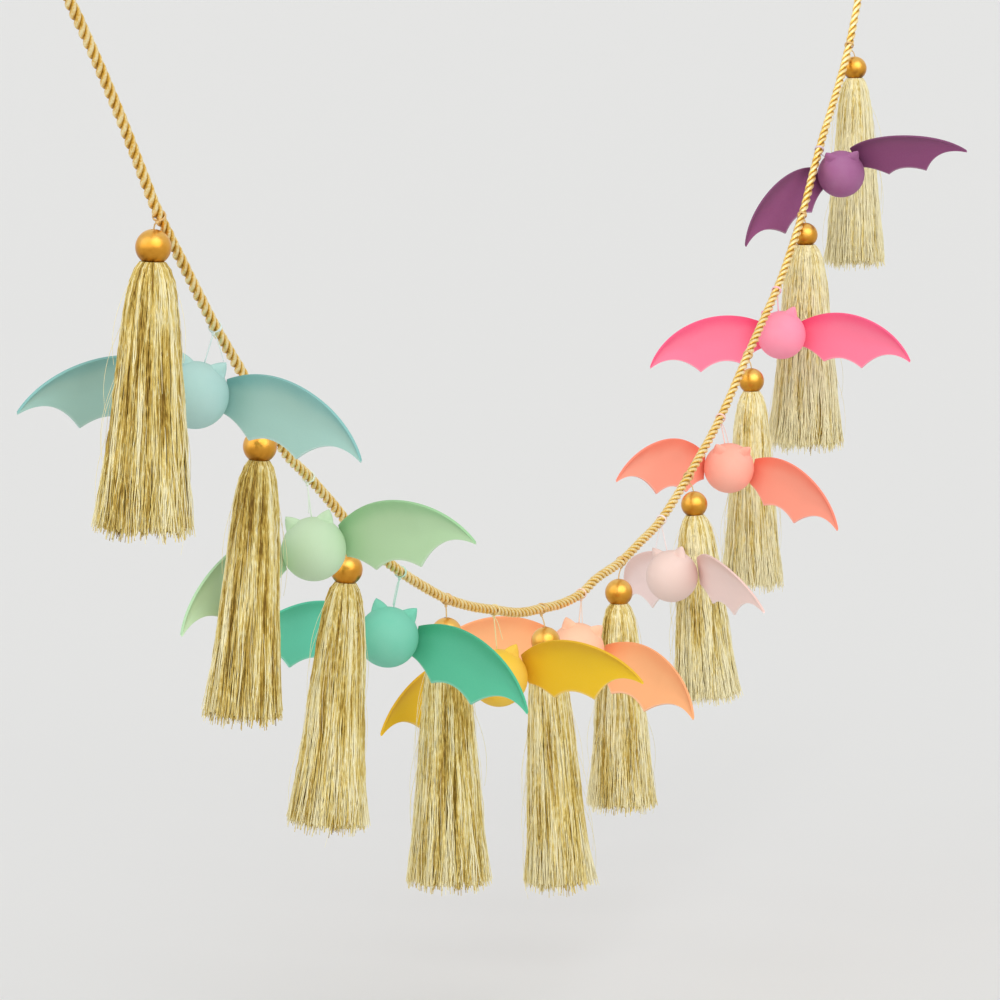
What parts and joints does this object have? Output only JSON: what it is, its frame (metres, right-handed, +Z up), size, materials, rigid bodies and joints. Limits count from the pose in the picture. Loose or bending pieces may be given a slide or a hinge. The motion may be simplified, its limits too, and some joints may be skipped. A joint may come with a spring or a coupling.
{
  "type": "paper bat garland",
  "caption": "Hanging garland: a twisted gold cord with beaded, fringed tassels and round paper bats in pastel and bright colours taking turns along it.",
  "frame": {"origin": "inside of the left hanging loop, where a hook holds the garland", "axes": "+X along the garland's span, from the left loop to the right one; +Z up; the cord hangs in the plane y = 0"},
  "size_m": [1.4455, 0.1771, 0.5306],
  "materials": {
    "gold_cord": "twisted metallic gold yarn with a soft sheen",
    "gold_bead": "smooth bead with satin gold paint",
    "tassel_fibre": "fine cream gold fibres with a silky sheen",
    "blue_paper": "matte, airbrushed dusty blue",
    "mint_paper": "matte, airbrushed mint green",
    "teal_paper": "matte, airbrushed teal green",
    "mustard_paper": "matte, airbrushed mustard yellow",
    "peach_paper": "matte, airbrushed peach",
    "light_pink_paper": "matte, airbrushed pale pink",
    "coral_paper": "matte, airbrushed coral",
    "hot_pink_paper": "matte, airbrushed hot pink",
    "purple_paper": "matte, airbrushed plum purple",
    "pale_thread": "thin matte thread"
  },
  "bodies": {
    "root": {"main_cord": "gold_cord", "left_loop": "gold_cord", "right_loop": "gold_cord", "tassel_1_bead": "gold_bead", "tassel_1_skirt": "tassel_fibre", "tassel_2_bead": "gold_bead", "tassel_2_skirt": "tassel_fibre", "tassel_3_bead": "gold_bead", "tassel_3_skirt": "tassel_fibre", "tassel_4_bead": "gold_bead", "tassel_4_skirt": "tassel_fibre", "tassel_5_bead": "gold_bead", "tassel_5_skirt": "tassel_fibre", "tassel_6_bead": "gold_bead", "tassel_6_skirt": "tassel_fibre", "tassel_7_bead": "gold_bead", "tassel_7_skirt": "tassel_fibre", "tassel_8_bead": "gold_bead", "tassel_8_skirt": "tassel_fibre", "tassel_9_bead": "gold_bead", "tassel_9_skirt": "tassel_fibre", "tassel_10_bead": "gold_bead", "tassel_10_skirt": "tassel_fibre", "blue_body": "blue_paper", "blue_left_wing": "blue_paper", "blue_right_wing": "blue_paper", "blue_thread": "pale_thread", "mint_body": "mint_paper", "mint_left_wing": "mint_paper", "mint_right_wing": "mint_paper", "mint_thread": "pale_thread", "teal_body": "teal_paper", "teal_left_wing": "teal_paper", "teal_right_wing": "teal_paper", "teal_thread": "pale_thread", "mustard_body": "mustard_paper", "mustard_left_wing": "mustard_paper", "mustard_right_wing": "mustard_paper", "mustard_thread": "pale_thread", "peach_body": "peach_paper", "peach_left_wing": "peach_paper", "peach_right_wing": "peach_paper", "peach_thread": "pale_thread", "light_pink_body": "light_pink_paper", "light_pink_left_wing": "light_pink_paper", "light_pink_right_wing": "light_pink_paper", "light_pink_thread": "pale_thread", "coral_body": "coral_paper", "coral_left_wing": "coral_paper", "coral_right_wing": "coral_paper", "coral_thread": "pale_thread", "hot_pink_body": "hot_pink_paper", "hot_pink_left_wing": "hot_pink_paper", "hot_pink_right_wing": "hot_pink_paper", "hot_pink_thread": "pale_thread", "purple_body": "purple_paper", "purple_left_wing": "purple_paper", "purple_right_wing": "purple_paper", "purple_thread": "pale_thread"}
  },
  "joints": []
}
